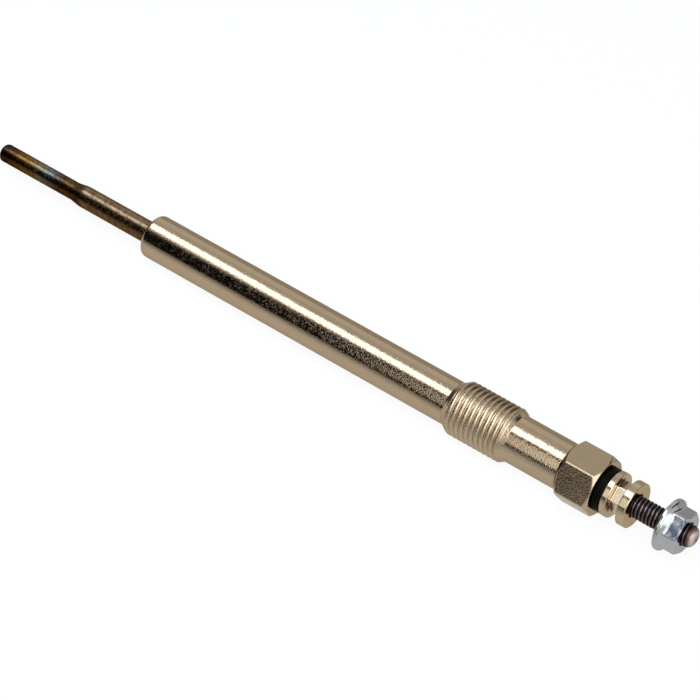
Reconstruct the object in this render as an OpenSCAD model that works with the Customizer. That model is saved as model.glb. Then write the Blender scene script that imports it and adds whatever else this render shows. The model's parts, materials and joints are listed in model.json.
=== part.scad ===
// Diesel glow plug with a sheathed heater rod, a long threaded shell and a nut terminal.
// The axis runs along X, with the heater tip at -X and the terminal stud at +X. The origin
// lies on the axis at the sealing seat, the shell's front end. A flat of the hex faces down.

/* [Heater sheath] */
// Length of the heater rod in front of the sealing seat
heater_len = 35; // [30:0.5:45]
// Diameter of the sheath where the shell grips it
sheath_d = 4; // [3.6:0.1:4.4]
// Diameter of the slim swaged end
tip_d = 3.35; // [3:0.05:3.5]
// Length of the slim swaged end
tip_len = 17.1; // [16.5:0.1:20]
// Length of the cone between the two diameters
swage_len = 1.9; // [1:0.1:3]
// Corner radius of the closed tip
tip_round = 1.4; // [0.8:0.1:1.45]
// Wall of the sheath
sheath_wall = 0.45; // [0.35:0.05:0.5]
// Thickness of the closed tip
tip_wall = 0.9; // [0.6:0.1:1.2]
// Length of the sheath behind the seat, inside the shell
sheath_inset = 24; // [20:0.5:30]

/* [Coils] */
// Mean diameter of both coils
coil_d = 1.5; // [1.3:0.05:1.6]
// Wire of the heating coil
heating_wire_d = 0.32; // [0.24:0.02:0.36]
// Pitch of the heating coil
heating_pitch = 0.65; // [0.5:0.05:0.8]
// Turns of the heating coil
heating_turns = 16; // [12:1:20]
// Wire of the control coil
control_wire_d = 0.28; // [0.22:0.02:0.34]
// Pitch of the control coil
control_pitch = 0.85; // [0.6:0.05:1]
// Turns of the control coil
control_turns = 17; // [12:1:20]
// Distance from the closed tip to the first turn of the heating coil
coil_setback = 1.4; // [1:0.1:2]

/* [Shell] */
// Diameter of the long shaft behind the seat
shaft_d = 8; // [7.5:0.1:8.5]
// Corner radius of the sealing nose
nose_round = 1; // [0.5:0.1:1.4]
// Distance from the seat to the first full thread
thread_start = 67.3; // [50:0.1:80]
// Length of the full thread
thread_len = 10.1; // [8:0.05:16]
// Crest diameter of the mounting thread
thread_d = 9.9; // [9.6:0.05:10]
// Length of the chamfer at the thread's front end
thread_chamfer = 1.5; // [0.6:0.1:1.8]
// Length of the chamfer at the thread's rear end
thread_runout = 1.2; // [0.6:0.1:1.6]
// Diameter of the shank between the thread and the hex
shank_d = 8.5; // [8:0.1:8.8]
// Length of the shank between the thread's rear chamfer and the hex
shank_len = 10.45; // [6:0.05:20]
// Width across the flats of the hex
hex_af = 10; // [9:0.5:12]
// Length of the hex
hex_len = 7.2; // [5:0.05:10]
// Diameter of the flat ring on the hex's front end
hex_front_d = 8.8; // [8.6:0.1:9.4]
// Diameter of the flat ring on the hex's rear end
hex_rear_d = 9.84; // [9:0.02:10]
// Angle of the hex's end chamfers, from the end face
hex_chamfer_angle = 40; // [25:1:45]
// Diameter of the bore round the electrode
bore_d = 5.2; // [4.8:0.1:5.6]
// Length of the narrow front bore that grips the sheath
grip_len = 20; // [14:0.5:22]

/* [Seals and insulation] */
// Diameter of the counterbore in the hex
counterbore_d = 6.2; // [6:0.1:6.8]
// Depth of the counterbore
counterbore_depth = 5; // [4:0.1:6.5]
// Depth of the plug that seals the sheath's open end
seal_depth = 4; // [2:0.5:6]
// Thickness of the sealing plug's collar
seal_collar = 0.8; // [0.5:0.1:1.2]
// Diameter of the insulating bush's flange
bush_d = 8; // [7:0.1:8.6]
// Thickness of the insulating bush's flange
bush_flange = 1.5; // [1:0.1:2.5]
// Edge radius of the insulating bush's flange
bush_round = 0.25; // [0.1:0.05:0.4]

/* [Electrode and terminal] */
// Diameter of the electrode inside the sheath
core_d = 1.9; // [1.6:0.1:2]
// Length of the electrode's thin spigot inside the control coil
spigot_len = 2.4; // [1.5:0.1:4]
// Diameter of the electrode rod inside the shell
rod_d = 3.5; // [3.2:0.1:3.6]
// Crest diameter of the terminal stud's thread
stud_d = 3.9; // [3.7:0.05:4]
// Length of the stud beyond the round nut
stud_reach = 11.6; // [10.5:0.05:16]
// Corner radius of the stud's end
stud_round = 1.4; // [0.6:0.1:1.5]
// Diameter of the round nut's flanges
round_nut_d = 8.1; // [7:0.1:9]
// Thickness of the round nut's inner flange
inner_flange = 1.2; // [0.8:0.1:1.6]
// Length of the round nut's crimped neck
neck_len = 2.05; // [1.5:0.05:3]
// Thickness of the round nut's outer flange
outer_flange = 1.6; // [0.8:0.1:1.8]
// Width across the crimped flats of the neck
neck_af = 5; // [4.6:0.1:5.4]
// Edge chamfer of the round nut's flanges
round_nut_chamfer = 0.15; // [0.05:0.05:0.3]

/* [Flange nut] */
// Free stud between the round nut and the flange nut
nut_gap = 5.45; // [3:0.05:7]
// Width across the flats of the nut
nut_af = 7; // [6.5:0.1:7.5]
// Diameter over the nut's rounded corners
nut_corner_d = 7.9; // [7.6:0.02:8]
// Height of the nut with its flange
nut_h = 4.4; // [3.8:0.1:5]
// Diameter of the flange
nut_flange_d = 9.35; // [8.4:0.05:10]
// Thickness of the flange at its rim
nut_flange_rim = 1.25; // [0.8:0.05:1.4]
// Height of the flange's cone above its rim
nut_flange_cone = 0.9; // [0.6:0.05:1.2]
// Edge radius of the flange's bearing side
nut_flange_round = 0.6; // [0.2:0.05:0.7]
// Diameter of the flat ring on the nut's outer end
nut_face_d = 6.8; // [6.2:0.1:7]
// Diameter of the countersinks at the thread's ends
countersink_d = 4.6; // [4.3:0.1:5]

/* [Clearances] */
// Gap left between pieces that touch
fit_gap = 0.02; // [0.01:0.005:0.03]
// Gap left round the crests of a threaded stud
thread_gap = 0.04; // [0.02:0.01:0.06]

/* [Hidden] */
$fn = 96;

// Turn of the round nut's and the flange nut's flats about the axis, from straight up
terminal_angle = 37;
// Facets of a coil's wire, and steps in one turn
wire_sides = 6;
turn_steps = 12;
// Bend of the heating coil's front lead, and its steps
lead_bend = 0.4;
lead_steps = 4;
// Margin by which a cut runs past the face it opens
cut_margin = 1;

// Stations along the axis
tip_x = -heater_len;
swage_x = tip_x + tip_len;
sheath_shoulder_x = swage_x + swage_len;
sheath_rear_x = sheath_inset;
thread_end_x = thread_start + thread_len;
shank_x = thread_end_x + thread_runout;
hex_x = shank_x + shank_len;
hex_end_x = hex_x + hex_len;
counterbore_x = hex_end_x - counterbore_depth;
bush_end_x = hex_end_x + bush_flange;
neck_x = bush_end_x + inner_flange;
neck_end_x = neck_x + neck_len;
round_nut_end_x = neck_end_x + outer_flange;
nut_x = round_nut_end_x + nut_gap;
stud_end_x = round_nut_end_x + stud_reach;
seal_front_x = sheath_rear_x - seal_depth;
rod_x = sheath_rear_x + seal_collar + fit_gap;

// The coils, from the closed tip to the electrode
cavity_x = tip_x + tip_wall;
coil_x = cavity_x + coil_setback;
joint_x = coil_x + heating_pitch * heating_turns;
coil_end_x = joint_x + control_pitch * control_turns;
coil_r = coil_d / 2;
lead_turn = lead_bend / coil_r * 180 / PI;
widest_wire_d = max(heating_wire_d, control_wire_d);
coil_inner_d = coil_d - widest_wire_d;
electrode_x = coil_end_x + widest_wire_d;
spigot_x = electrode_x - spigot_len;

// The hollow of the sheath
sheath_bore_d = sheath_d - 2 * sheath_wall;
tip_bore_d = tip_d - 2 * sheath_wall;
tip_bore_round = max(tip_round - sheath_wall, sheath_wall);
o_ring_cord = (counterbore_d - rod_d) / 2 - 2 * fit_gap;
bush_shank_x = counterbore_x + o_ring_cord + 2 * fit_gap;

// Turns what is built along Z so that it runs along X
module along_x() {
  rotate([0, 90, 0])
    children();
}

// Half section of a rod of diameter d from z0 to z1, with its corner rounded at z0
module rounded_rod_section(d, z0, z1, corner) {
  translate([0, z0 + corner])
    square([d / 2, z1 - z0 - corner]);
  translate([0, z0])
    square([d / 2 - corner, corner]);
  intersection() {
    translate([d / 2 - corner, z0 + corner])
      circle(corner);
    translate([0, z0])
      square([d / 2, corner]);
  }
}

// Half section of a cone from radius r0 at z0 to radius r1 at z1
module cone_section(r0, z0, r1, z1) {
  polygon([[0, z0], [r0, z0], [r1, z1], [0, z1]]);
}

// Plain bore of diameter d from z0 to z1
module bore(d, z0, z1) {
  translate([0, 0, z0])
    cylinder(d = d, h = z1 - z0);
}

// Hexagonal prism from z0 to z1 with a flat turned by an angle from straight up
module hex_prism(af, z0, z1, turn) {
  translate([0, 0, z0])
    rotate([0, 0, turn + 30])
      cylinder(d = af / cos(30), h = z1 - z0, $fn = 6);
}

// Solid of revolution that gives a hexagon its chamfered ends
module chamfer_body(z0, z1, front_d, rear_d, corner_d, angle) {
  front_h = (corner_d - front_d) / 2 * tan(angle);
  rear_h = (corner_d - rear_d) / 2 * tan(angle);
  rotate_extrude()
    polygon([[0, z0], [front_d / 2, z0], [corner_d / 2, z0 + front_h],
             [corner_d / 2, z1 - rear_h], [rear_d / 2, z1], [0, z1]]);
}

// Swaged outline of the sheath, or of its hollow, from z0 to z1
module swaged_section(slim_d, wide_d, z0, z1, corner) {
  rounded_rod_section(slim_d, z0, swage_x, corner);
  cone_section(slim_d / 2, swage_x, wide_d / 2, sheath_shoulder_x);
  translate([0, sheath_shoulder_x])
    square([wide_d / 2, z1 - sheath_shoulder_x]);
}

// A coil's path is a list of [angle, x, q], where q is 0 on an axial stretch and 90 on a turn
function helix_path(x0, pitch, turns, angle0) =
  [for (k = [0 : turns * turn_steps]) [angle0 + 360 * k / turn_steps, x0 + pitch * k / turn_steps, 90]];

function lead_path(x0, x1) =
  concat([[0, x0, 0]],
         [for (k = [0 : lead_steps - 1]) let (q = 90 * k / lead_steps)
           [lead_turn * (1 - cos(q)), x1 - lead_bend * (1 - sin(q)), q]]);

// One ring of points round the wire, at a point of its path
function wire_ring(p, wire_r) =
  let (radial = [0, cos(p[0]), sin(p[0])], around = [0, -sin(p[0]), cos(p[0])], axial = [1, 0, 0])
  [for (j = [0 : wire_sides - 1]) let (c = 360 * j / wire_sides)
    p[1] * axial + (coil_r + wire_r * cos(c)) * radial
    + wire_r * sin(c) * (sin(p[2]) * axial - cos(p[2]) * around)];

module wound_wire(path, wire_d) {
  last = len(path) - 1;
  polyhedron(
    points = [for (p = path) each wire_ring(p, wire_d / 2)],
    faces = concat(
      [[for (j = [0 : wire_sides - 1]) wire_sides - 1 - j]],
      [[for (j = [0 : wire_sides - 1]) last * wire_sides + j]],
      [for (i = [0 : last - 1], j = [0 : wire_sides - 1]) let (k = (j + 1) % wire_sides)
        [i * wire_sides + j, i * wire_sides + k, (i + 1) * wire_sides + k, (i + 1) * wire_sides + j]]));
}

// Turned steel shell: sealing nose, long shaft, mounting thread, shank and hex
module shell() {
  color("#a5947a")
    along_x()
      difference() {
        union() {
          rotate_extrude() {
            rounded_rod_section(shaft_d, 0, thread_start - thread_chamfer, nose_round);
            cone_section(shaft_d / 2, thread_start - thread_chamfer, thread_d / 2, thread_start);
            translate([0, thread_start])
              square([thread_d / 2, thread_len]);
            cone_section(thread_d / 2, thread_end_x, shank_d / 2, shank_x);
            translate([0, shank_x])
              square([shank_d / 2, shank_len]);
          }
          intersection() {
            hex_prism(hex_af, hex_x, hex_end_x, 0);
            chamfer_body(hex_x, hex_end_x, hex_front_d, hex_rear_d, hex_af / cos(30), hex_chamfer_angle);
          }
        }
        bore(sheath_d + 2 * fit_gap, -cut_margin, grip_len + cut_margin);
        bore(bore_d, grip_len, hex_end_x);
        bore(counterbore_d, counterbore_x, hex_end_x + cut_margin);
      }
}

// Heat-proof tube, closed and swaged slim at the tip, pressed into the shell
module sheath_tube() {
  color("#6b5443")
    along_x()
      rotate_extrude()
        difference() {
          swaged_section(tip_d, sheath_d, tip_x, sheath_rear_x, tip_round);
          swaged_section(tip_bore_d, sheath_bore_d, cavity_x, sheath_rear_x + cut_margin, tip_bore_round);
        }
}

// Heating coil, with a straight lead to the closed tip
module heating_coil() {
  lead_outer_r = coil_r + heating_wire_d / 2;
  round_centre_r = tip_bore_d / 2 - tip_bore_round;
  dome_rise = tip_bore_round - sqrt(pow(tip_bore_round, 2) - pow(lead_outer_r - round_centre_r, 2));
  lead_x = cavity_x + dome_rise + fit_gap;
  color("#8a8178")
    wound_wire(concat(lead_path(lead_x, coil_x), helix_path(coil_x, heating_pitch, heating_turns, lead_turn)),
               heating_wire_d);
}

// Control coil, joined end to end with the heating coil and wound on the electrode's spigot
module control_coil() {
  color("#b0aaa0")
    wound_wire(helix_path(joint_x, control_pitch, control_turns, lead_turn + 360 * heating_turns),
               control_wire_d);
}

// Packed magnesia powder that fills the sheath round the coils and the electrode
module magnesia_filling() {
  channel_x = coil_x - lead_bend - widest_wire_d / 2 - fit_gap;
  color("#e8e4da")
    along_x()
      difference() {
        rotate_extrude()
          difference() {
            swaged_section(tip_bore_d - 2 * fit_gap, sheath_bore_d - 2 * fit_gap, cavity_x + fit_gap,
                           seal_front_x - fit_gap, tip_bore_round);
            translate([coil_inner_d / 2 - fit_gap, channel_x])
              square([widest_wire_d + 2 * fit_gap, electrode_x - channel_x]);
            translate([0, spigot_x - fit_gap])
              square([coil_inner_d / 2, spigot_len + 2 * fit_gap]);
            translate([0, electrode_x - fit_gap])
              square([core_d / 2 + fit_gap, seal_front_x - electrode_x + cut_margin]);
          }
        translate([0, coil_r, 0])
          bore(heating_wire_d + 2 * fit_gap, cavity_x, channel_x + cut_margin);
      }
}

// Elastic plug that closes the sheath's open end round the electrode
module sheath_seal() {
  color("#3a3632")
    along_x()
      difference() {
        union() {
          bore(sheath_bore_d - 2 * fit_gap, seal_front_x, sheath_rear_x + fit_gap);
          bore(sheath_d, sheath_rear_x + fit_gap, sheath_rear_x + seal_collar);
        }
        bore(core_d + 2 * fit_gap, seal_front_x - cut_margin, rod_x + cut_margin);
      }
}

// Steel rod from the control coil to the terminal, threaded where it leaves the shell
module centre_electrode() {
  color("#3b322d")
    along_x()
      rotate_extrude() {
        translate([0, spigot_x])
          square([coil_inner_d / 2 - fit_gap, spigot_len]);
        translate([0, electrode_x])
          square([core_d / 2, rod_x - electrode_x]);
        translate([0, rod_x])
          square([rod_d / 2, bush_end_x - rod_x]);
        mirror([0, 1])
          rounded_rod_section(stud_d, -stud_end_x, -bush_end_x, stud_round);
      }
}

// Elastic ring that seals the electrode in the shell's counterbore
module o_ring() {
  color("#24211f")
    along_x()
      translate([0, 0, counterbore_x + fit_gap + o_ring_cord / 2])
        rotate_extrude()
          translate([(counterbore_d + rod_d) / 4, 0])
            circle(d = o_ring_cord);
}

// Black insulating bush: a shank in the counterbore and a flange on the hex's end
module insulating_bush() {
  color("#15130f")
    along_x()
      difference() {
        union() {
          bore(counterbore_d - 2 * fit_gap, bush_shank_x, hex_end_x + fit_gap);
          rotate_extrude()
            translate([0, bush_end_x])
              mirror([0, 1])
                rounded_rod_section(bush_d, fit_gap, bush_flange - fit_gap, bush_round);
        }
        bore(stud_d + 2 * thread_gap, bush_shank_x - cut_margin, bush_end_x + cut_margin);
      }
}

// One flange of the round nut, with a chamfer on both edges
module round_nut_flange(z0, z1) {
  face_d = round_nut_d - 2 * round_nut_chamfer;
  chamfer_body(z0, z1, face_d, face_d, round_nut_d, 45);
}

// Countersink at the end of a stud's hole, opening towards +Z for a dir of 1 and -Z for -1
module countersink(z, dir) {
  depth = (countersink_d - stud_d) / 2;
  translate([0, 0, z])
    rotate([dir > 0 ? 0 : 180, 0, 0])
      translate([0, 0, -depth])
        cylinder(d1 = stud_d, d2 = countersink_d, h = depth);
}

// Round nut, crimped onto the stud at its neck, that clamps the insulating bush
module round_nut() {
  color("#c9b58c")
    along_x()
      difference() {
        union() {
          round_nut_flange(bush_end_x, neck_x);
          hex_prism(neck_af, neck_x, neck_end_x, terminal_angle);
          round_nut_flange(neck_end_x, round_nut_end_x);
        }
        bore(stud_d + 2 * thread_gap, bush_end_x - cut_margin, round_nut_end_x + cut_margin);
        countersink(round_nut_end_x, 1);
      }
}

// Hexagon nut with a flange, for the cable's eyelet
module flange_nut() {
  nut_end_x = nut_x + nut_h;
  cone_x = nut_x + nut_flange_rim;
  color("#b4b9bc")
    along_x()
      difference() {
        union() {
          rotate_extrude() {
            rounded_rod_section(nut_flange_d, nut_x, cone_x, nut_flange_round);
            cone_section(nut_flange_d / 2, cone_x, nut_af / 2, cone_x + nut_flange_cone);
          }
          intersection() {
            hex_prism(nut_af, cone_x, nut_end_x, terminal_angle);
            chamfer_body(cone_x, nut_end_x, nut_corner_d, nut_face_d, nut_corner_d, hex_chamfer_angle);
          }
        }
        bore(stud_d + 2 * thread_gap, nut_x - cut_margin, nut_end_x + cut_margin);
        countersink(nut_end_x, 1);
        countersink(nut_x, -1);
      }
}

shell();
sheath_tube();
heating_coil();
control_coil();
magnesia_filling();
sheath_seal();
centre_electrode();
o_ring();
insulating_bush();
round_nut();
flange_nut();
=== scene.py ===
"""Looks of a diesel glow plug: fine meshes, plated and heat-tinted metals, studio light and camera."""

import json
import math

import bmesh
import bpy
import numpy as np
from mathutils import Matrix, Vector


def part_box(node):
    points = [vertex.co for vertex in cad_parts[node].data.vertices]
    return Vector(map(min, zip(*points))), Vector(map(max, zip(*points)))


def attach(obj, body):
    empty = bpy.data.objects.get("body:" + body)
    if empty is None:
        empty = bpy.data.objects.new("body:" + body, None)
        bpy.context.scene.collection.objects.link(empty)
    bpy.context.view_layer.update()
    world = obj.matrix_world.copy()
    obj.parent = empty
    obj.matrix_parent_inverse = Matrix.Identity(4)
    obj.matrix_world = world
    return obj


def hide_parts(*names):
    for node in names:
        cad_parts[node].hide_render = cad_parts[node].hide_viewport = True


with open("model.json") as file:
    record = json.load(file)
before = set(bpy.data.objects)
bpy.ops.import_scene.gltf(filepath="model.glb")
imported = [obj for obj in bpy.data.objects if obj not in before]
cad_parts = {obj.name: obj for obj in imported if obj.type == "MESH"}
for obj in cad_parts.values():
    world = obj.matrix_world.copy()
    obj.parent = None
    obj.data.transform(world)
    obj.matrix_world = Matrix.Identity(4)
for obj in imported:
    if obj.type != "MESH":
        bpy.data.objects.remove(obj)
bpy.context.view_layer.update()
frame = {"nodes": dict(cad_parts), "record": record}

MM = 0.001


# Places along the axis and radii that the frame gives, in millimetres

def x_range(node):
    """First and last place of a node along the axis, in millimetres."""
    low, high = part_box(node)
    return low.x / MM, high.x / MM


def outer_radius(node):
    """Height of a node above the axis, in millimetres: a round node's radius, or half of a hex's width."""
    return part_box(node)[1].z / MM


MOUNTS = {mount["name"]: mount for mount in frame["record"]["mounts"]}
SHELL_X, HEX_END_X = x_range("shell")
TIP_X, SHEATH_REAR_X = x_range("sheath_tube")
SPIGOT_X, STUD_END_X = x_range("centre_electrode")
BUSH_X, BUSH_END_X = x_range("insulating_bush")
ROUND_NUT_X, ROUND_NUT_END_X = x_range("round_nut")
NUT_X, NUT_END_X = x_range("flange_nut")
SHEATH_R = outer_radius("sheath_tube")
STUD_R = MOUNTS["terminal_stud"]["dims"]["r_mm"]
THREAD_R = MOUNTS["mounting_thread"]["dims"]["r_mm"]
THREAD_LEN = MOUNTS["mounting_thread"]["dims"]["length_mm"]
THREAD_MID_X = MOUNTS["mounting_thread"]["pos_m"][0] / MM
THREAD_X = THREAD_MID_X - THREAD_LEN / 2
THREAD_END_X = THREAD_X + THREAD_LEN
HEX_AF = outer_radius("shell") * 2
BUSH_R = outer_radius("insulating_bush")
ROUND_NUT_R = outer_radius("round_nut")
NUT_FLANGE_R = outer_radius("flange_nut")

# Meshes: points that count as one, in metres, and the angle from which an edge is sharp
MERGE_DISTANCE = 1e-7
SHARP_ANGLE = math.radians(50)

# Meshes: how many columns a piece has about its axis, and where they crowd at a hexagon's corner
SHELL_COLUMNS = 132
ROD_COLUMNS = 96
BUSH_COLUMNS = 128
NUT_COLUMNS = 120
CORNER_SHARES = (-1.4, -1.0, -0.75, -0.5, -0.25, 0.0, 0.25, 0.5, 0.75, 1.0, 1.4)
CORNER_CLEAR = 1.7

# Angle from one corner of a hexagon to the next, and to the middle of a flat
HEX_STEP = math.pi / 3
HALF_STEP = HEX_STEP / 2

# Edges are (cut, steps): how far from its corner a rounding starts, in millimetres, and its steps. A cut
# takes a limited share of the shorter side, and a row of points guards it on each side.
PLAIN = (0, 0)
LEAST_LENGTH = 1e-9
CUT_SHARE = 0.45
GUARD_SHARE = 0.25

# Short step along the axis before one form or finish turns into the next, in millimetres
GUARD = 0.08

# Form of the screw threads, as shares of the pitch
CREST_SHARE = 0.44
ROOT_SHARE = 0.16
THREAD_EDGE = 0.16
THREAD_ROOT_STEPS = 3
THREAD_CREST_STEPS = 4

# Shell, in millimetres
SHAFT_R = 4.0
NOSE_ROUND = 1.0
NOSE_EDGE = (NOSE_ROUND, 10)
MOUTH_EDGE = (0.08, 2)
THREAD_CHAMFER = 1.5
THREAD_RUNOUT = 1.2
THREAD_DEPTH = 0.31
THREAD_PITCH = 1.0
THREAD_START_TURN = 0.5
SHANK_R = 4.25
HEX_X = 89.05
HEX_FRONT_R = 4.4
HEX_REAR_R = 4.92
HEX_CORNER_ROUND = 0.35
HEX_FOOT_EDGE = (0.12, 3)
HEX_FRONT_EDGE = (0.05, 2)
HEX_EDGE = (0.13, 4)
HEX_REAR_EDGE = (0.08, 3)
CHAMFER_SLOPE = math.tan(math.radians(40))
GRIP_R = SHEATH_R + 0.02
GRIP_LEN = 20.0
BORE_R = 2.6
COUNTERBORE_R = 3.1
COUNTERBORE_DEPTH = 5.0

# Sheath, in millimetres
SLIM_R = 1.675
SLIM_LEN = 17.1
SWAGE_LEN = 1.9
SWAGE_EDGE = (0.5, 6)
SHEATH_WALL = 0.45
SHEATH_REAR_EDGE = (0.1, 2)
TIP_WALL = 0.9
TIP_ROUND = 1.4
TIP_EDGE = (TIP_ROUND, 12)
TIP_BORE_EDGE = (TIP_ROUND - SHEATH_WALL, 6)
SWAGE_X = TIP_X + SLIM_LEN
SHOULDER_X = SWAGE_X + SWAGE_LEN

# Electrode, in millimetres
SPIGOT_R = 0.57
SPIGOT_LEN = 2.4
CORE_R = 0.95
CORE_EDGE = (0.1, 2)
ROD_R = 1.75
ROD_X = 24.82
ROD_EDGE = (0.15, 2)
STUD_PITCH = 0.7
STUD_START_TURN = 0.0
STUD_DEPTH = 0.26
STUD_ROUND = 1.4
DOME_LEN = 0.12
DOME_FLAT_SHARE = 0.55
DOME_EDGE = (0.2, 4)

# Terminal pieces, in millimetres
TERMINAL_ANGLE = math.radians(37)
HOLE_R = 1.99
COUNTERSINK_R = 2.3
COUNTERSINK_DEPTH = 0.31
COUNTERSINK_EDGE = (0.06, 2)
BUSH_SHANK_R = 3.08
BUSH_FLANGE = 1.46
BUSH_EDGE = (0.1, 2)
BUSH_FRONT_EDGE = (0.1, 3)
BUSH_REAR_EDGE = (0.25, 5)
INNER_FLANGE = 1.2
OUTER_FLANGE = 1.6
FLANGE_EDGE = (0.16, 4)
NECK_AF = 5.0
NECK_CORNER_ROUND = 0.4
NECK_EDGE = (0.12, 4)
NECK_X = ROUND_NUT_X + INNER_FLANGE
NECK_END_X = ROUND_NUT_END_X - OUTER_FLANGE
NUT_AF = 7.0
NUT_CORNER_ROUND = 0.59
NUT_RIM = 1.25
NUT_RIM_EDGE = (0.3, 6)
NUT_CONE = 0.9
NUT_CONE_EDGE = (0.3, 5)
NUT_SEAT_EDGE = (0.2, 3)
NUT_BEVEL = 0.55
NUT_BEVEL_R = 1.2
NUT_BEVEL_EDGE = (0.16, 4)
NUT_TAPER = 0.03
NUT_FACE_R = 3.4
NUT_FACE_EDGE = (0.08, 3)
NUT_HEX_EDGE = (0.12, 4)
NUT_HOLE_EDGE = (0.05, 2)

# Finishes: clouds, spots, grain, places and depths are in millimetres. A pair of numbers is a range, a pair
# of colours belongs to the ends of a noise, and a longer list gives colours at values from 0 to 1.
NOISE_ENDS = (0.3, 0.7)
GREYS = ((0.0, (0.0, 0.0, 0.0)), (1.0, (1.0, 1.0, 1.0)))

# Nickel plating of the shell
NICKEL_CLOUD = 3.0
NICKEL_COLOURS = ((0.25, (0.365, 0.29, 0.19)), (0.5, (0.39, 0.30, 0.20)), (0.75, (0.395, 0.295, 0.207)))
NICKEL_SPECULAR = (0.62, 0.58, 0.5)
NICKEL_GRAIN = 0.26
NICKEL_GRAIN_DEPTH = 0.02
HEX_GRAIN_SHARE = 0.8
SHAFT_ROUGHNESS = 0.073
HEX_ROUGHNESS = 0.105
FLECK = 0.34
FLECK_RANGE = (0.5, 0.645)
SHAFT_FLECK_ROUGHNESS = 0.2
HEX_FLECK_ROUGHNESS = 0.075
NOSE_FLECK_SHARE = 0.58
FLECK_FADE_X = 50.0
THREAD_ROUGHNESS = 0.2
THREAD_FADE = 0.5
THREAD_WEAR = 0.4
WORN_NICKEL = (0.48, 0.38, 0.265)
# Painted shade: the thread is darkened on its upper back side, most in its grooves.
THREAD_SHADE_COLOUR = (0.09, 0.055, 0.025)
THREAD_SHADE_CREST_SHARE = 0.35
THREAD_SHADE_ANGLE = math.radians(-62)
THREAD_SHADE_REACH = (math.radians(40), math.radians(60))

# Heat-tinted alloy of the sheath
HEAT_AND_SWAGE_SHADE_BANDS = (
    (-35.0, (0.035, 0.018, 0.013)),
    (-33.4, (0.065, 0.033, 0.02)),
    (-31.7, (0.13, 0.065, 0.027)),
    (-29.0, (0.18, 0.105, 0.027)),
    (-26.8, (0.2, 0.145, 0.065)),
    (-25.3, (0.21, 0.18, 0.125)),
    (-23.4, (0.15, 0.16, 0.17)),
    (-22.0, (0.115, 0.09, 0.085)),
    (-20.8, (0.1, 0.055, 0.036)),
    (-18.5, (0.13, 0.07, 0.024)),
    # These two bands over the swage are darkened as painted shade.
    (-17.1, (0.09, 0.052, 0.024)),
    (-16.0, (0.1, 0.064, 0.034)),
    (-15.2, (0.225, 0.158, 0.094)),
)
HEAT_CLOUD = 2.0
HEAT_WANDER = 1.2
# Painted shade: the sheath turns darker and browner towards its underside.
UNDERSIDE = (math.radians(-10), math.radians(80))
UNDERSIDE_PAINTED_SHADES = ((0.0, (1.0, 1.0, 1.0)), (0.25, (0.82, 0.82, 0.82)), (0.45, (0.8, 0.78, 0.74)),
                    (0.85, (0.58, 0.45, 0.33)))
SOOT_SPOT = 0.8
SOOT_NOISE_ROUGHNESS = 0.6
SOOT_RANGE = (0.36, 0.6)
SOOT_SHADES = (0.5, 1.0)
SOOT_DEPTH = 0.02
SHEATH_FLECK = 0.45
SHEATH_FLECK_RANGE = (0.46, 0.66)
SHEATH_ROUGHNESS = (0.19, 0.36)
SHEATH_SPECULAR = (0.5, 0.45, 0.4)

# Dark oxide of the stud, worn on its crests and its cap
OXIDE_PATCH = 0.5
OXIDE_COLOURS = ((0.0, (0.022, 0.015, 0.014)), (0.6, (0.06, 0.045, 0.044)), (1.0, (0.15, 0.118, 0.116)))
OXIDE_ROUGHNESS = (0.3, 0.4)
OXIDE_SPECULAR = (0.5, 0.45, 0.45)
OXIDE_GRAIN = 0.15
OXIDE_GRAIN_DEPTH = 0.012
CREST_WEAR_DEPTH = 0.2
CREST_WEAR_RANGE = (0.3, 0.65)
CREST_WEAR_SHARES = (0.6, 1.0)
CAP_COLOURS = ((0.0, (0.16, 0.13, 0.12)), (0.35, (0.36, 0.32, 0.31)), (0.6, (0.5, 0.44, 0.42)),
               (0.8, (0.4, 0.31, 0.27)), (0.9, (0.13, 0.08, 0.06)), (1.0, (0.03, 0.02, 0.018)))
CAP_X = STUD_END_X - 0.95 * STUD_ROUND
CAP_FULL_X = STUD_END_X - 0.75 * STUD_ROUND
CAP_ROUGHNESS = 0.12

# Black plastic of the bush
PLASTIC_CLOUD = 1.5
PLASTIC_COLOURS = ((0.003, 0.0022, 0.0016), (0.006, 0.0045, 0.0035))
PLASTIC_ROUGHNESS = (0.34, 0.44)
PLASTIC_SPECULAR_LEVEL = 0.02
PLASTIC_GRAIN = 0.2
PLASTIC_GRAIN_DEPTH = 0.006

# Gold-toned nickel of the round nut, with its neck painted paler as painted light and red-brown painted
# shade on two flats of the neck
GOLD_CLOUD = 1.2
GOLD_COLOURS = ((0.39, 0.30, 0.195), (0.44, 0.35, 0.245))
GOLD_ROUGHNESS = (0.1, 0.16)
GOLD_SPECULAR = (0.65, 0.6, 0.5)
GOLD_SPECULAR_LEVEL = 0.05
GOLD_GRAIN = 0.25
GOLD_GRAIN_DEPTH = 0.01
# Painted light: the neck is painted paler than the flanges.
NECK_PAINTED_LIGHT = (0.46, 0.39, 0.3)
NECK_FADE = 0.05
# Painted shade: red-brown on two flats of the neck, next to the inner flange.
NECK_SHADE_COLOUR = (0.11, 0.018, 0.003)
NECK_SHADE_X = NECK_X + 0.2
NECK_SHADE_REACH = (0.35, 0.7)
NECK_SHADE_R = (ROUND_NUT_R - 1.0, ROUND_NUT_R - 0.5)
NECK_SHADE_FACING = math.cos(math.radians(60))
NECK_SHADE_FACING_REACH = (0.16, 0.3)
NECK_SHADE_SHARES = (0.8, 1.0)
NECK_SHADE_ROUGHNESS = 0.3
NECK_SHADE_METAL_RANGE = (0.2, 0.9)

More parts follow.
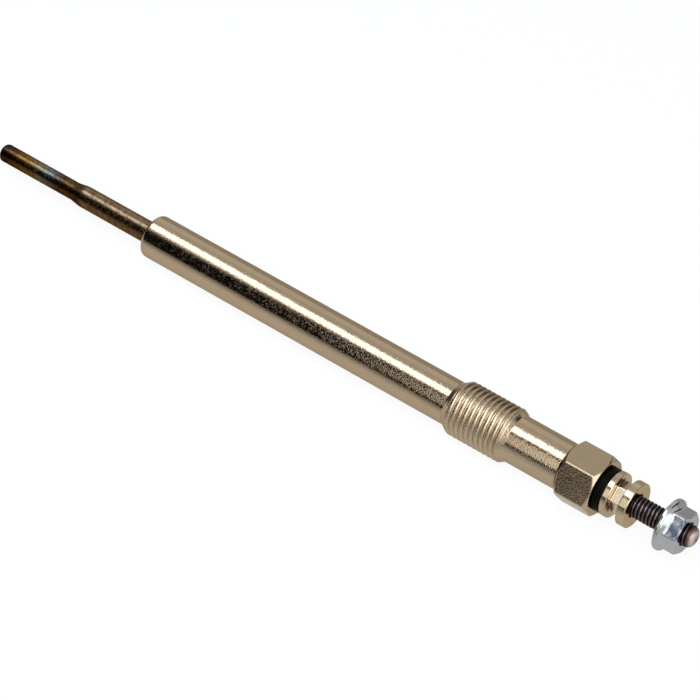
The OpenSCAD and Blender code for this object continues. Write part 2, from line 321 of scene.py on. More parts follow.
# Zinc plating of the flange nut, with painted shade on one flat
ZINC_CLOUD = 1.4
ZINC_COLOURS = ((0.3, (0.37, 0.372, 0.355)), (0.5, (0.37, 0.375, 0.365)), (0.7, (0.35, 0.372, 0.39)))
ZINC_ROUGHNESS = (0.1, 0.16)
ZINC_SPECULAR = (0.7, 0.7, 0.7)
ZINC_GRAIN = 0.3
ZINC_GRAIN_DEPTH = 0.008
# Painted shade: the flat that faces the terminal angle is darkened.
FLAT_SHADE_COLOUR = (0.07, 0.085, 0.12)
FLAT_SHADE_FACING = (math.cos(math.radians(32)), math.cos(math.radians(26)))
FLAT_SHADE_X = NUT_X + NUT_RIM + NUT_CONE
FLAT_SHADE_FADE = 0.15
FLAT_SHADE_RANGE = (0.42, 0.62)
FLAT_SHADE_SHARES = (1.0, 0.25)

# Inner pieces
WIRE_STREAK = 0.1
WIRE_STRETCH = (0.3, 1, 1)
WIRE_ROUGHNESS = (0.3, 0.45)
HEATING_WIRE_COLOURS = ((0.19, 0.17, 0.15), (0.26, 0.23, 0.2))
NICKEL_WIRE_COLOURS = ((0.36, 0.33, 0.28), (0.46, 0.42, 0.37))
SOFT_GRAIN_DEPTH = 0.02
RUBBER_COLOURS = ((0.02, 0.018, 0.016), (0.035, 0.03, 0.027))
RUBBER_GRAIN = 0.2
RUBBER_ROUGHNESS = (0.6, 0.75)
MAGNESIA_COLOURS = ((0.72, 0.69, 0.62), (0.82, 0.79, 0.72))
MAGNESIA_GRAIN = 0.15
MAGNESIA_ROUGHNESS = (0.85, 0.95)

# Camera and its picture, from the photograph
PICTURE_PX = 700
FOCAL_PX = 3340.0
SENSOR_MM = 36.0
AZIMUTH = math.radians(37.8)
ELEVATION = math.radians(46.4)
AIM_X = 44.1 * MM
AIM_PX = (352.0, 346.6)
CAMERA_DISTANCE = 0.567
CLIP_START = 0.01

# Floor and its boards, in metres, with the share of plain white that they show
FLOOR_SIZE = 4.0
FLOOR_ALBEDO = 0.9
FLOOR_WHITE_SHARE = 0.92
FLAG_ALBEDO = 0.02
BOARD_LIFT = 0.0002
BACK_BOARD_Y = (0.016, 1.5)
BACK_BOARD_SHARE = 0.72

# Boards before the plug: nearest and farthest distance from it, and share of white
FRONT_BOARDS = (
    (0.008, 0.018, 0.97),
    (0.018, 0.04, 0.8),
    (0.04, 0.12, 0.58),
    (0.12, 1.5, 0.25),
)

# Cards round the plug: name, range of lean and range of height in degrees, and share of white
CARD_DISTANCE = 1.0
CARD_STEPS = 24
CARDS = (
    ("front_flag", (-90, -12), (6, 58), 0.0),
    ("front_flag_high", (-90, -12), (58, 69), 0.18),
    ("front_flag_low", (-90, -12), (-1, 6.5), 0.4),
    ("left_flag", (-90, -56), (69, 132), 0.06),
    ("left_flag_low", (-90, -56), (132, 178), 0.06),
    ("end_flag", (20, 48), (122, 182), 0.06),
    ("back_wall_high", (-46, 4), (105, 132), 0.82),
    ("back_wall", (-34, 4), (132, 164), 1.0),
    ("back_wall_low", (-34, 4), (164, 178), 0.6),
)

# Softboxes: name, the point in x and y that they face, their lean, height and turn in degrees, their
# length and width in metres, their radiance, where 1 is white, and their colour
SOFTBOX_DISTANCE = 0.6
WHITE = (1.0, 1.0, 1.0)
SOFTBOXES = (
    ("overhead_softbox", (-0.03, -0.098), (0, 90, 22), (1.05, 0.262), 4.0, (0.75, 0.88, 1.0)),
    ("key_softbox", (0.08, 0.0), (14, 55, 0), (0.34, 0.4), 4.0, (0.9, 0.96, 1.0)),
    ("front_softbox", (-0.106, 0.0), (0, 37.2, 0), (0.028, 0.465), 2.3, WHITE),
    ("front_softbox", (-0.1425, 0.0), (0, 37.2, 0), (0.045, 0.465), 1.5, WHITE),
    ("front_softbox", (-0.178, 0.0), (0, 37.2, 0), (0.03, 0.465), 0.9, WHITE),
    ("end_softbox", (0.0, 0.0), (75, 53, 0), (0.42, 0.42), 2.0, (0.86, 0.94, 1.0)),
)
ROOM_LIGHT = 0.25


# Mesh building

def even_columns(count):
    """Angles about the axis at equal steps."""
    return np.linspace(0.0, 2 * math.pi, count, endpoint=False)


def corner_reach(across_flats, corner_round):
    """Angle from a hexagon's corner to where its rounding meets the flat."""
    centre = (across_flats / 2 - corner_round) / math.cos(HALF_STEP)
    return math.atan2(corner_round * math.sin(HALF_STEP), centre + corner_round * math.cos(HALF_STEP))


def hex_columns(count, flat_angle, across_flats, corner_round):
    """Even angles, with more of them close to the rounded corners of a hexagon."""
    reach = corner_reach(across_flats, corner_round)
    corners = flat_angle + HALF_STEP + np.arange(6) * HEX_STEP
    near = (corners[:, None] + np.array(CORNER_SHARES)[None, :] * reach).ravel() % (2 * math.pi)
    even = even_columns(count)
    from_corner = np.abs((even - flat_angle) % HEX_STEP - HALF_STEP)
    clear = even[from_corner > CORNER_CLEAR * reach]
    return np.sort(np.concatenate([clear, near]))


def hex_radius(angles, flat_angle, across_flats, corner_round):
    """Radius of a hexagon with rounded corners at each angle."""
    from_flat = (angles - flat_angle + HALF_STEP) % HEX_STEP - HALF_STEP
    flat = across_flats / 2 / np.cos(from_flat)
    from_corner = HALF_STEP - np.abs(from_flat)
    centre = (across_flats / 2 - corner_round) / math.cos(HALF_STEP)
    offset = np.minimum(centre * np.sin(from_corner), corner_round)
    rounded = centre * np.cos(from_corner) + np.sqrt(corner_round ** 2 - offset ** 2)
    return np.where(from_corner < corner_reach(across_flats, corner_round), rounded, flat)


def corner_rows(before, corner, after, cut, steps):
    """Rows that round a corner of an outline by an arc that starts and ends a cut away from it."""
    back = before - corner
    ahead = after - corner
    back_len = np.linalg.norm(back, axis=-1, keepdims=True)
    ahead_len = np.linalg.norm(ahead, axis=-1, keepdims=True)
    back = back / np.maximum(back_len, LEAST_LENGTH)
    ahead = ahead / np.maximum(ahead_len, LEAST_LENGTH)
    reach = np.minimum(cut, CUT_SHARE * np.minimum(back_len, ahead_len))
    guard = GUARD_SHARE * reach
    half_turn = 0.5 * np.arccos(np.clip(-np.sum(back * ahead, axis=-1, keepdims=True), -1, 1))
    weight = np.cos(half_turn)
    start = corner + back * reach
    end = corner + ahead * reach
    rows = [start + back * guard]
    for step in range(steps + 1):
        t = step / steps
        total = (1 - t) ** 2 + 2 * weight * t * (1 - t) + t ** 2
        rows.append(((1 - t) ** 2 * start + 2 * weight * t * (1 - t) * corner + t ** 2 * end) / total)
    rows.append(end + ahead * guard)
    return rows


def outline_rows(points, columns, closed=False):
    """Rows of (x, r) from outline points (x, r, edge), where x and r may change from column to column."""
    zeros = np.zeros(len(columns))
    places = [np.stack([zeros + point[0], zeros + point[1]], axis=-1) for point in points]
    last = len(points) - 1
    rows = []
    for i, point in enumerate(points):
        cut, steps = point[2]
        inner = closed or 0 < i < last
        if cut and inner:
            rows += corner_rows(places[i - 1], places[i], places[(i + 1) % len(points)], cut, steps)
        else:
            rows.append(places[i])
    return rows


def thread_rows(columns, x0, x1, crest_r, pitch, depth, start_turn, limit):
    """Rows that follow a right-hand screw thread between two rings, cut down to the radius limit(x)."""
    crest = CREST_SHARE * pitch / 2
    root = ROOT_SHARE * pitch / 2
    root_r = crest_r - depth
    root_edge = (THREAD_EDGE * pitch, THREAD_ROOT_STEPS)
    crest_edge = (THREAD_EDGE * pitch, THREAD_CREST_STEPS)
    one_turn = outline_rows([(-pitch / 2, root_r, PLAIN), (-pitch / 2 + root, root_r, root_edge),
                             (-crest, crest_r, crest_edge), (crest, crest_r, crest_edge),
                             (pitch / 2 - root, root_r, root_edge), (pitch / 2, root_r, PLAIN)], [0])
    profile = [row[0] for row in one_turn][:-1]
    advance = pitch * columns / (2 * math.pi)
    turns = int(math.ceil((x1 - x0) / pitch)) + 2
    rows = []
    for turn in range(-1, turns):
        for x_profile, r_profile in profile:
            x = np.clip(x0 + pitch * (turn + start_turn) + x_profile + advance, x0, x1)
            r = np.minimum(r_profile, limit(x))
            rows.append(np.stack([x, r], axis=-1))
    return rows, len(profile)


def join_rows(faces, a, b, count):
    """Faces between two whole rows of vertices."""
    for j in range(count):
        k = (j + 1) % count
        faces.append((a + j, a + k, b + k, b + j))


def lathe(name, columns, blocks, closed=False):
    """Mesh object from blocks of rows about the axis. A block is (rows, shift), where shift is the
    number of rows by which a screw thread has moved on after one turn, or 0."""
    count = len(columns)
    radial_y = -np.sin(columns)
    radial_z = np.cos(columns)
    vertices = []
    faces = []
    last_row = None
    first_row = None
    for rows, shift in blocks:
        base = len(vertices)
        for row in rows:
            xyz = np.stack([row[:, 0], row[:, 1] * radial_y, row[:, 1] * radial_z], axis=-1) * MM
            vertices.extend(map(tuple, xyz))
        total = len(rows)
        for i in range(total - 1):
            a = base + i * count
            b = a + count
            for j in range(count - 1):
                faces.append((a + j, a + j + 1, b + j + 1, b + j))
            seam = i + shift
            if seam < total - 1:
                c = base + seam * count
                faces.append((a + count - 1, c, c + count, b + count - 1))
        if last_row is None:
            first_row = base
        else:
            join_rows(faces, last_row, base, count)
        last_row = base + (total - 1) * count
    if closed:
        join_rows(faces, last_row, first_row, count)
    return mesh_object(name, vertices, faces)


def link(obj):
    """The object, added to the scene."""
    bpy.context.scene.collection.objects.link(obj)
    return obj


def mesh_object(name, vertices, faces):
    """Object with merged points, outward normals and smooth faces between sharp edges."""
    mesh = bpy.data.meshes.new(name)
    mesh.from_pydata(vertices, [], faces)
    work = bmesh.new()
    work.from_mesh(mesh)
    bmesh.ops.remove_doubles(work, verts=work.verts, dist=MERGE_DISTANCE)
    bmesh.ops.dissolve_degenerate(work, edges=work.edges, dist=MERGE_DISTANCE)
    bmesh.ops.recalc_face_normals(work, faces=work.faces)
    work.to_mesh(mesh)
    work.free()
    mesh.shade_smooth()
    mesh.set_sharp_from_angle(angle=SHARP_ANGLE)
    return link(bpy.data.objects.new(name, mesh))


def dress(piece, node, material):
    """The piece stands for a node, wears a material and rides with the plug."""
    piece.data.materials.clear()
    piece.data.materials.append(material)
    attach(piece, "root")
    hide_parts(node)


# Pieces

def build_shell():
    """Sealing nose, shaft, mounting thread, shank and hex, with the bore through them."""
    columns = hex_columns(SHELL_COLUMNS, 0.0, HEX_AF, HEX_CORNER_ROUND)
    hexagon = hex_radius(columns, 0.0, HEX_AF, HEX_CORNER_ROUND)
    front_x = HEX_X + (hexagon - HEX_FRONT_R) * CHAMFER_SLOPE
    rear_x = HEX_END_X - (hexagon - HEX_REAR_R) * CHAMFER_SLOPE
    chamfer_x = THREAD_X - THREAD_CHAMFER
    shank_x = THREAD_END_X + THREAD_RUNOUT
    counterbore_x = HEX_END_X - COUNTERBORE_DEPTH

    def cone_limit(x):
        """Largest radius between the cones before and behind the thread."""
        front = SHAFT_R + (x - chamfer_x) / THREAD_CHAMFER * (THREAD_R - SHAFT_R)
        rear = SHANK_R + (shank_x - x) / THREAD_RUNOUT * (THREAD_R - SHANK_R)
        return np.minimum(front, rear)

    nose = outline_rows([(GRIP_LEN, GRIP_R, PLAIN), (SHELL_X, GRIP_R, MOUTH_EDGE),
                         (SHELL_X, SHAFT_R, NOSE_EDGE), (chamfer_x - GUARD, SHAFT_R, PLAIN),
                         (chamfer_x, SHAFT_R, PLAIN)], columns)
    thread, shift = thread_rows(columns, chamfer_x, shank_x, THREAD_R, THREAD_PITCH, THREAD_DEPTH,
                                THREAD_START_TURN, cone_limit)
    head = outline_rows([(shank_x, SHANK_R, PLAIN), (shank_x + GUARD, SHANK_R, PLAIN),
                         (HEX_X, SHANK_R, HEX_FOOT_EDGE), (HEX_X, HEX_FRONT_R, HEX_FRONT_EDGE),
                         (front_x, hexagon, HEX_EDGE), (rear_x, hexagon, HEX_EDGE),
                         (HEX_END_X, HEX_REAR_R, HEX_REAR_EDGE), (HEX_END_X, COUNTERBORE_R, MOUTH_EDGE),
                         (counterbore_x, COUNTERBORE_R, PLAIN), (counterbore_x, BORE_R, PLAIN),
                         (GRIP_LEN, BORE_R, PLAIN)], columns)
    return lathe("plug_shell", columns, [(nose, 0), (thread, shift), (head, 0)], closed=True)


def build_sheath():
    """Closed and swaged tube with its hollow."""
    columns = even_columns(ROD_COLUMNS)
    slim_bore = SLIM_R - SHEATH_WALL
    wide_bore = SHEATH_R - SHEATH_WALL
    bore_x = TIP_X + TIP_WALL
    rows = outline_rows([(TIP_X, 0, PLAIN), (TIP_X, SLIM_R, TIP_EDGE), (SWAGE_X, SLIM_R, SWAGE_EDGE),
                         (SHOULDER_X, SHEATH_R, SWAGE_EDGE), (SHEATH_REAR_X, SHEATH_R, SHEATH_REAR_EDGE),
                         (SHEATH_REAR_X, wide_bore, SHEATH_REAR_EDGE), (SHOULDER_X, wide_bore, PLAIN),
                         (SWAGE_X, slim_bore, PLAIN), (bore_x, slim_bore, TIP_BORE_EDGE),
                         (bore_x, 0, PLAIN)], columns)
    return lathe("heater_sheath", columns, [(rows, 0)])


def build_stud():
    """Electrode rod with the screw thread of the terminal stud and a rounded end."""
    columns = even_columns(ROD_COLUMNS)
    core_x = SPIGOT_X + SPIGOT_LEN
    round_x = STUD_END_X - STUD_ROUND
    dome_x = STUD_END_X - DOME_LEN

    def end_limit(x):
        """Radius of the rounding at the stud's end."""
        rise = np.clip(x - round_x, 0, STUD_ROUND)
        return STUD_R - STUD_ROUND + np.sqrt(np.maximum(STUD_ROUND ** 2 - rise ** 2, 0))

    rod = outline_rows([(SPIGOT_X, 0, PLAIN), (SPIGOT_X, SPIGOT_R, CORE_EDGE), (core_x, SPIGOT_R, PLAIN),
                        (core_x, CORE_R, CORE_EDGE), (ROD_X, CORE_R, PLAIN), (ROD_X, ROD_R, ROD_EDGE),
                        (BUSH_END_X, ROD_R, PLAIN)], columns)
    thread, shift = thread_rows(columns, BUSH_END_X, dome_x, STUD_R, STUD_PITCH, STUD_DEPTH,
                                STUD_START_TURN, end_limit)
    dome_r = end_limit(dome_x)
    dome = outline_rows([(dome_x, dome_r, PLAIN), (STUD_END_X, dome_r * DOME_FLAT_SHARE, DOME_EDGE),
                         (STUD_END_X, 0, PLAIN)], columns)
    return lathe("terminal_stud", columns, [(rod, 0), (thread, shift), (dome, 0)])


def build_bush():
    """Insulating ring with its shank in the hex's counterbore."""
    columns = even_columns(BUSH_COLUMNS)
    flange_x = BUSH_END_X - BUSH_FLANGE
    rows = outline_rows([(BUSH_X, HOLE_R, PLAIN), (BUSH_X, BUSH_SHANK_R, BUSH_EDGE),
                         (flange_x, BUSH_SHANK_R, PLAIN), (flange_x, BUSH_R, BUSH_FRONT_EDGE),
                         (BUSH_END_X, BUSH_R, BUSH_REAR_EDGE), (BUSH_END_X, HOLE_R, BUSH_EDGE)],
                        columns, closed=True)
    return lathe("insulating_ring", columns, [(rows, 0)], closed=True)


def build_round_nut():
    """Spool-shaped nut with a crimped six-sided neck."""
    columns = hex_columns(NUT_COLUMNS, TERMINAL_ANGLE, NECK_AF, NECK_CORNER_ROUND)
    neck = hex_radius(columns, TERMINAL_ANGLE, NECK_AF, NECK_CORNER_ROUND)
    rows = outline_rows([(ROUND_NUT_X, HOLE_R, PLAIN), (ROUND_NUT_X, ROUND_NUT_R, FLANGE_EDGE),
                         (NECK_X, ROUND_NUT_R, FLANGE_EDGE), (NECK_X, neck, NECK_EDGE),
                         (NECK_END_X, neck, NECK_EDGE), (NECK_END_X, ROUND_NUT_R, FLANGE_EDGE),
                         (ROUND_NUT_END_X, ROUND_NUT_R, FLANGE_EDGE),
                         (ROUND_NUT_END_X, COUNTERSINK_R, COUNTERSINK_EDGE),
                         (ROUND_NUT_END_X - COUNTERSINK_DEPTH, HOLE_R, PLAIN)], columns, closed=True)
    return lathe("crimped_round_nut", columns, [(rows, 0)], closed=True)


def build_flange_nut():
    """Hexagon nut with a coned flange and countersunk ends."""
    columns = hex_columns(NUT_COLUMNS, TERMINAL_ANGLE, NUT_AF, NUT_CORNER_ROUND)
    hexagon = hex_radius(columns, TERMINAL_ANGLE, NUT_AF, NUT_CORNER_ROUND)
    rim_x = NUT_X + NUT_RIM
    meet_x = rim_x + NUT_CONE * (NUT_FLANGE_R - hexagon) / (NUT_FLANGE_R - NUT_AF / 2)
    chamfer_x = NUT_END_X - (hexagon - NUT_FACE_R) * CHAMFER_SLOPE
    rows = outline_rows([(NUT_X + COUNTERSINK_DEPTH, HOLE_R, PLAIN), (NUT_X, COUNTERSINK_R, NUT_HOLE_EDGE),
                         (NUT_X, NUT_FLANGE_R - NUT_BEVEL_R, NUT_SEAT_EDGE),
                         (NUT_X + NUT_BEVEL, NUT_FLANGE_R - NUT_TAPER, NUT_BEVEL_EDGE),
                         (rim_x, NUT_FLANGE_R, NUT_RIM_EDGE), (meet_x, hexagon, NUT_CONE_EDGE),
                         (chamfer_x, hexagon, NUT_HEX_EDGE), (NUT_END_X, NUT_FACE_R, NUT_FACE_EDGE),
                         (NUT_END_X, COUNTERSINK_R, COUNTERSINK_EDGE),
                         (NUT_END_X - COUNTERSINK_DEPTH, HOLE_R, PLAIN)], columns, closed=True)
    return lathe("cable_flange_nut", columns, [(rows, 0)], closed=True)


# Materials

class Graph:
    """A node tree, and short ways to add nodes to it."""

    def __init__(self, tree):
        self.nodes = tree.nodes
        self.links = tree.links

    def give(self, socket, value):
        """Set a socket to a number or a colour, or feed it from another node."""
        if isinstance(value, (int, float)):
            socket.default_value = value
        elif isinstance(value, tuple):
            socket.default_value = (*value, 1.0)
        else:
            self.links.new(value, socket)

    def math(self, operation, a, b=0.0):
        """Result of a mathematical operation on one or two values."""
        node = self.nodes.new("ShaderNodeMath")
        node.operation = operation
        self.give(node.inputs[0], a)
        self.give(node.inputs[1], b)
        return node.outputs["Value"]

    def product(self, result, *factors):
        """All the values, multiplied."""
        for factor in factors:
            result = self.math("MULTIPLY", result, factor)
        return result

    def seen(self):
        """1 for rays from the camera and for those that mirror or pass through a surface, 0 for the rest."""
        path = self.nodes.new("ShaderNodeLightPath").outputs
        direct = self.math("MAXIMUM", path["Is Camera Ray"], path["Is Glossy Ray"])
        return self.math("MAXIMUM", direct, path["Is Transmission Ray"])


class Paint(Graph):
    """A material with a principled shader, and short ways to add textures that feed it."""

    def __init__(self, name):
        self.material = bpy.data.materials.new(name)
        self.material.use_nodes = True
        super().__init__(self.material.node_tree)
        self.shader = self.nodes["Principled BSDF"]
        self.place = self.nodes.new("ShaderNodeTexCoord").outputs["Object"]
        split = self.nodes.new("ShaderNodeSeparateXYZ")
        self.links.new(self.place, split.inputs["Vector"])
        self.x, self.y, self.z = split.outputs

    def feed(self, **sockets):
        """Set or feed sockets of the shader, named with _ for a space."""
        for name, value in sockets.items():
            self.give(self.shader.inputs[name.replace("_", " ")], value)

    def noise(self, grain_mm, detail=2.0, stretch=(1, 1, 1), roughness=0.5):
        """Cloudy value with features of about grain_mm, drawn out where stretch is below 1."""
        mapping = self.nodes.new("ShaderNodeMapping")
        mapping.inputs["Scale"].default_value = stretch
        self.links.new(self.place, mapping.inputs["Vector"])
        node = self.nodes.new("ShaderNodeTexNoise")
        node.inputs["Scale"].default_value = 1 / (grain_mm * MM)
        node.inputs["Detail"].default_value = detail
        node.inputs["Roughness"].default_value = roughness
        self.links.new(mapping.outputs["Vector"], node.inputs["Vector"])
        return node.outputs["Fac"]

    def axis_mm(self):
        """Place along the plug's axis, in millimetres."""
        return self.math("DIVIDE", self.x, MM)

    def radius_mm(self):
        """Distance from the plug's axis, in millimetres."""
        square = self.math("ADD", self.math("POWER", self.y, 2), self.math("POWER", self.z, 2))
        return self.math("DIVIDE", self.math("SQRT", square), MM)

    def angle(self):
        """Angle about the plug's axis, from the top towards the front."""
        return self.math("ARCTAN2", self.math("MULTIPLY", self.y, -1.0), self.z)

    def facing(self, angle):
        """Cosine of the turn about the axis from an angle: 1 on the side that faces it."""
        return self.math("COSINE", self.math("SUBTRACT", self.angle(), angle))

    def span(self, value, low, high, to_low=0.0, to_high=1.0):
        """The value, mapped from one range to another."""
        node = self.nodes.new("ShaderNodeMapRange")
        self.links.new(value, node.inputs["Value"])
        for name, number in zip(("From Min", "From Max", "To Min", "To Max"), (low, high, to_low, to_high)):
            node.inputs[name].default_value = number
        return node.outputs["Result"]

    def near(self, value, centre, full, none):
        """1 where the value lies within the distance full of a centre, falling to 0 at the distance none."""
        distance = self.math("ABSOLUTE", self.math("SUBTRACT", value, centre))
        return self.span(distance, full, none, 1.0, 0.0)

    def ramp(self, value, stops):
        """Colour from (place, colour) stops."""
        node = self.nodes.new("ShaderNodeValToRGB")
        elements = node.color_ramp.elements
        while len(elements) < len(stops):
            elements.new(1.0)
        for element, (place, colour) in zip(elements, stops):
            element.position = place
            element.color = (*colour, 1.0)
        self.links.new(value, node.inputs["Fac"])
        return node.outputs["Color"]

    def clouded(self, noise, colours):
        """Colour that follows a noise from the first of two colours to the second."""
        return self.ramp(noise, tuple(zip(NOISE_ENDS, colours)))

    def mix(self, factor, a, b, blend="MIX"):
        """Two colours, mixed by a factor."""
        node = self.nodes.new("ShaderNodeMix")
        node.data_type = "RGBA"
        node.blend_type = blend
        colours = [s for s in node.inputs if s.type == "RGBA"]
        self.give(node.inputs["Factor"], factor)
        self.give(colours[0], a)
        self.give(colours[1], b)
        return [s for s in node.outputs if s.type == "RGBA"][0]

    def bump(self, height, depth_mm):
        """Fine relief of a height from 0 to 1, as deep as depth_mm."""
        node = self.nodes.new("ShaderNodeBump")
        node.inputs["Distance"].default_value = depth_mm * MM
        self.links.new(height, node.inputs["Height"])
        return node.outputs["Normal"]


def nickel_material():
    """Satin nickel plating with faint clouds, fine grain and dull flecks, and painted shade in the thread on
    its upper back side.
    """
    paint = Paint("nickel_plated_steel")
    along = paint.axis_mm()
    half_len = THREAD_LEN / 2

    def to_hex(on_shaft, on_hex):
        """Value that changes where the hex begins."""
        return paint.span(along, HEX_X - GUARD, HEX_X, on_shaft, on_hex)

    on_thread = paint.near(along, THREAD_MID_X, half_len - THREAD_FADE, half_len)
    plating = paint.ramp(paint.noise(NICKEL_CLOUD, detail=3), NICKEL_COLOURS)
    plating = paint.mix(paint.product(on_thread, THREAD_WEAR), plating, WORN_NICKEL)
    # Painted shade in the thread's grooves and, less, on its crests, on its upper back side.
    groove = paint.span(paint.radius_mm(), THREAD_R - THREAD_DEPTH, THREAD_R, 1.0, THREAD_SHADE_CREST_SHARE)
    side = paint.near(paint.angle(), THREAD_SHADE_ANGLE, *THREAD_SHADE_REACH)
    plating = paint.mix(paint.product(groove, side, on_thread), plating, THREAD_SHADE_COLOUR)

    flecks = paint.span(paint.noise(FLECK, detail=1), *FLECK_RANGE)
    fleck_share = paint.span(along, SHELL_X, FLECK_FADE_X, NOSE_FLECK_SHARE, 1.0)
    dull = paint.product(flecks, to_hex(SHAFT_FLECK_ROUGHNESS, HEX_FLECK_ROUGHNESS), fleck_share)
    dull = paint.math("ADD", dull, to_hex(SHAFT_ROUGHNESS, HEX_ROUGHNESS))
    worn = paint.near(along, THREAD_MID_X, half_len, half_len + THREAD_CHAMFER)
    dull = paint.math("ADD", dull, paint.product(worn, THREAD_ROUGHNESS))
    relief = paint.product(paint.noise(NICKEL_GRAIN, detail=1), to_hex(1.0, HEX_GRAIN_SHARE))
    paint.feed(Base_Color=plating, Roughness=dull, Normal=paint.bump(relief, NICKEL_GRAIN_DEPTH),
               Metallic=1.0, Specular_Tint=NICKEL_SPECULAR)
    return paint.material


def sheath_material():
    """Heat-proof alloy, oxidised brown-grey, with bands of heat tint on the slim end, and painted shade over
    the swage and towards the underside.
    """
    paint = Paint("heat_tinted_alloy")
    wander = paint.span(paint.noise(HEAT_CLOUD), 0.0, 1.0, -HEAT_WANDER, HEAT_WANDER)
    along = paint.math("ADD", paint.axis_mm(), wander)
    first = HEAT_AND_SWAGE_SHADE_BANDS[0][0]
    last = HEAT_AND_SWAGE_SHADE_BANDS[-1][0]
    stops = [((x - first) / (last - first), colour) for x, colour in HEAT_AND_SWAGE_SHADE_BANDS]
    tint = paint.ramp(paint.span(along, first, last), stops)
    # Painted shade towards the underside.
    painted_shade = paint.ramp(paint.span(paint.angle(), *UNDERSIDE), UNDERSIDE_PAINTED_SHADES)
    tint = paint.mix(1.0, tint, painted_shade, "MULTIPLY")
    spots = paint.noise(SOOT_SPOT, detail=5, roughness=SOOT_NOISE_ROUGHNESS)
    soot = paint.ramp(paint.span(spots, *SOOT_RANGE, *SOOT_SHADES), GREYS)
    tint = paint.mix(1.0, tint, soot, "MULTIPLY")
    flecks = paint.noise(SHEATH_FLECK)
    paint.feed(Base_Color=tint, Roughness=paint.span(flecks, *SHEATH_FLECK_RANGE, *SHEATH_ROUGHNESS),
               Normal=paint.bump(spots, SOOT_DEPTH), Metallic=1.0, Specular_Tint=SHEATH_SPECULAR)
    return paint.material


def stud_material():
    """Dark brown-black oxide, worn paler on the crests of the thread and on the end."""
    paint = Paint("dark_steel")
    patches = paint.noise(OXIDE_PATCH, detail=3)
    radius = paint.radius_mm()
    crest = paint.product(paint.span(radius, STUD_R - CREST_WEAR_DEPTH, STUD_R),
                          paint.span(patches, *CREST_WEAR_RANGE, *CREST_WEAR_SHARES))
    oxide = paint.ramp(crest, OXIDE_COLOURS)
    cap = paint.ramp(paint.span(radius, 0.0, STUD_R), CAP_COLOURS)
    on_cap = paint.span(paint.axis_mm(), CAP_X, CAP_FULL_X)
    roughness = paint.math("ADD", paint.span(patches, *NOISE_ENDS, *OXIDE_ROUGHNESS),
                           paint.product(on_cap, CAP_ROUGHNESS))
    paint.feed(Base_Color=paint.mix(on_cap, oxide, cap), Roughness=roughness,
               Normal=paint.bump(paint.noise(OXIDE_GRAIN), OXIDE_GRAIN_DEPTH),
               Metallic=1.0, Specular_Tint=OXIDE_SPECULAR)
    return paint.material


def bush_material():
    """Black moulded plastic with a faint moulding grain."""
    paint = Paint("black_plastic")
    clouds = paint.noise(PLASTIC_CLOUD)
    paint.feed(Base_Color=paint.clouded(clouds, PLASTIC_COLOURS),
               Roughness=paint.span(clouds, *NOISE_ENDS, *PLASTIC_ROUGHNESS),
               Normal=paint.bump(paint.noise(PLASTIC_GRAIN), PLASTIC_GRAIN_DEPTH),
               Specular_IOR_Level=PLASTIC_SPECULAR_LEVEL)
    return paint.material


def round_nut_material():
    """Bright gold-toned nickel plating, with the crimped neck painted paler as painted light, and red-brown
    painted shade on two of its flats.
    """
    paint = Paint("gold_toned_nickel")
    clouds = paint.noise(GOLD_CLOUD, detail=3)
    along = paint.axis_mm()
    half_len = (NECK_END_X - NECK_X) / 2
    in_neck = paint.near(along, NECK_X + half_len, half_len - NECK_FADE, half_len + NECK_FADE)
    # Painted light: the neck is painted paler.
    plating = paint.mix(in_neck, paint.clouded(clouds, GOLD_COLOURS), NECK_PAINTED_LIGHT)
    # Painted shade: red-brown on two flats of the neck, next to the inner flange.
    neck_shade = paint.product(paint.near(along, NECK_SHADE_X, *NECK_SHADE_REACH),
                            paint.near(paint.facing(TERMINAL_ANGLE), NECK_SHADE_FACING, *NECK_SHADE_FACING_REACH),
                            paint.span(paint.radius_mm(), *NECK_SHADE_R, 1.0, 0.0),
                            paint.span(clouds, *NOISE_ENDS, *NECK_SHADE_SHARES))
    grain = paint.noise(GOLD_GRAIN)
    roughness = paint.math("ADD", paint.span(grain, *NOISE_ENDS, *GOLD_ROUGHNESS),
                           paint.product(neck_shade, NECK_SHADE_ROUGHNESS))
    paint.feed(Base_Color=paint.mix(neck_shade, plating, NECK_SHADE_COLOUR), Roughness=roughness,
               Normal=paint.bump(grain, GOLD_GRAIN_DEPTH),
               Metallic=paint.span(neck_shade, *NECK_SHADE_METAL_RANGE, 1.0, 0.0),
               Specular_Tint=GOLD_SPECULAR, Specular_IOR_Level=GOLD_SPECULAR_LEVEL)
    return paint.material


def nut_material():
    """Bright zinc plating with a blue cast that comes and goes, and painted shade on the flat that faces the
    terminal angle.
    """
    paint = Paint("zinc_plated_steel")
    clouds = paint.noise(ZINC_CLOUD, detail=3)
    # Painted shade on the flat that faces the terminal angle.
    flat_shade = paint.product(paint.span(paint.facing(TERMINAL_ANGLE), *FLAT_SHADE_FACING),
                         paint.span(paint.axis_mm(), FLAT_SHADE_X, FLAT_SHADE_X + FLAT_SHADE_FADE),
                         paint.span(clouds, *FLAT_SHADE_RANGE, *FLAT_SHADE_SHARES))
    plating = paint.mix(flat_shade, paint.ramp(clouds, ZINC_COLOURS), FLAT_SHADE_COLOUR)
    grain = paint.noise(ZINC_GRAIN)
    paint.feed(Base_Color=plating, Roughness=paint.span(grain, *NOISE_ENDS, *ZINC_ROUGHNESS),
               Normal=paint.bump(grain, ZINC_GRAIN_DEPTH), Metallic=1.0, Specular_Tint=ZINC_SPECULAR)
    return paint.material


def wire_material(name, colours):
    """Drawn wire with fine streaks."""
    paint = Paint(name)
    streaks = paint.noise(WIRE_STREAK, stretch=WIRE_STRETCH)
    paint.feed(Base_Color=paint.clouded(streaks, colours),
               Roughness=paint.span(streaks, *NOISE_ENDS, *WIRE_ROUGHNESS), Metallic=1.0)
    return paint.material


